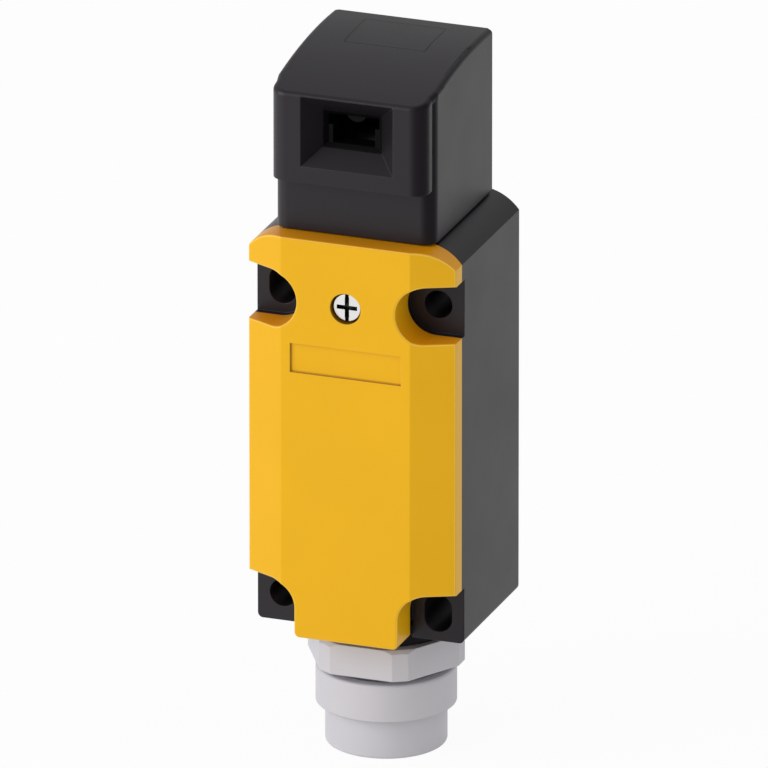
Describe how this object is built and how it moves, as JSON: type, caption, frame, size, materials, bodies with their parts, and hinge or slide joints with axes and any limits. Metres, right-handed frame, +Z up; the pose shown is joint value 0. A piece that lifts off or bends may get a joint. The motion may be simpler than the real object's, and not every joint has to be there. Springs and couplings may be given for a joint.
{
  "type": "tongue interlock switch",
  "caption": "Safety position switch: box housing with yellow cover, turnable head with a slot for a separate tongue, cable gland below.",
  "frame": {"origin": "centre of the four fixing holes on the rear mounting face", "axes": "+Z up towards the operating head, -Y out of the front cover, +X to the right seen from the front"},
  "size_m": [0.04, 0.0378, 0.1353],
  "materials": {
    "black_moulding": "fine grained black thermoplastic",
    "yellow_moulding": "satin signal yellow thermoplastic",
    "grey_moulding": "light grey polyamide",
    "white_moulding": "low friction acetal",
    "block_moulding": "grey thermoset",
    "plated_screw": "bright zinc plate",
    "spring_steel": "spring steel",
    "contact_brass": "brass with silver contact faces",
    "cam_metal": "sintered steel",
    "seal_rubber": "nitrile rubber"
  },
  "bodies": {
    "body": {"housing": "black_moulding", "contact_block_base": "block_moulding", "contact_block_cover": "block_moulding", "fixed_contacts": "contact_brass", "terminal_clamps": "plated_screw", "terminal_screws": "plated_screw", "block_screws": "plated_screw", "gland_washer": "seal_rubber", "gland_body": "grey_moulding", "gland_insert": "seal_rubber", "gland_cage": "grey_moulding"},
    "cover": {"cover": "yellow_moulding", "cover_gasket": "seal_rubber", "screw_retainer": "spring_steel"},
    "cover_screw": {"cover_screw": "plated_screw"},
    "head": {"head_housing": "black_moulding", "tongue_guide": "black_moulding", "top_plug": "black_moulding", "head_base": "black_moulding", "head_base_screws": "plated_screw", "head_o_ring": "seal_rubber", "cam_pin": "plated_screw"},
    "key_cam": {"key_cam": "cam_metal"},
    "plunger": {"plunger": "white_moulding", "plunger_spring": "spring_steel"},
    "carrier": {"contact_carrier": "white_moulding", "contact_bridges": "contact_brass", "bridge_springs": "spring_steel", "carrier_spring": "spring_steel"},
    "head_lock": {"head_lock_slide": "spring_steel"},
    "gland_nut": {"gland_nut": "grey_moulding"}
  },
  "joints": [
    {"name": "cover_tilt", "type": "hinge", "parent": "body", "child": "cover", "pos_m": [0, -0.0297, -0.0339], "axis": [1, 0, 0], "range_deg": [0, 65]},
    {"name": "cover_screw_turn", "type": "hinge", "parent": "cover", "child": "cover_screw", "pos_m": [0, -0.0373, 0.03], "axis": [0, -1, 0], "continuous": true},
    {"name": "head_turn", "type": "hinge", "parent": "body", "child": "head", "pos_m": [0, -0.0168, 0.0426], "axis": [0, 0, 1], "continuous": true},
    {"name": "key_turn", "type": "hinge", "parent": "head", "child": "key_cam", "pos_m": [0, -0.0168, 0.0538], "axis": [-1, 0, 0], "range_deg": [0, 50]},
    {"name": "plunger_lift", "type": "slide", "parent": "head", "child": "plunger", "axis": [0, 0, 1], "range_m": [0, 0.003], "deforming": ["plunger_spring"]},
    {"name": "carrier_lift", "type": "slide", "parent": "body", "child": "carrier", "axis": [0, 0, 1], "range_m": [0, 0.003], "deforming": ["carrier_spring"]},
    {"name": "head_lock_press", "type": "slide", "parent": "body", "child": "head_lock", "axis": [0, 1, 0], "range_m": [0, 0.002]},
    {"name": "gland_nut_turn", "type": "hinge", "parent": "body", "child": "gland_nut", "pos_m": [0, -0.0161, -0.05], "axis": [0, 0, 1], "continuous": true}
  ],
  "couplings": [
    {"joint": "plunger_lift", "follows": "key_turn", "m_per_rad": 0.003437},
    {"joint": "carrier_lift", "follows": "key_turn", "m_per_rad": 0.003437}
  ]
}
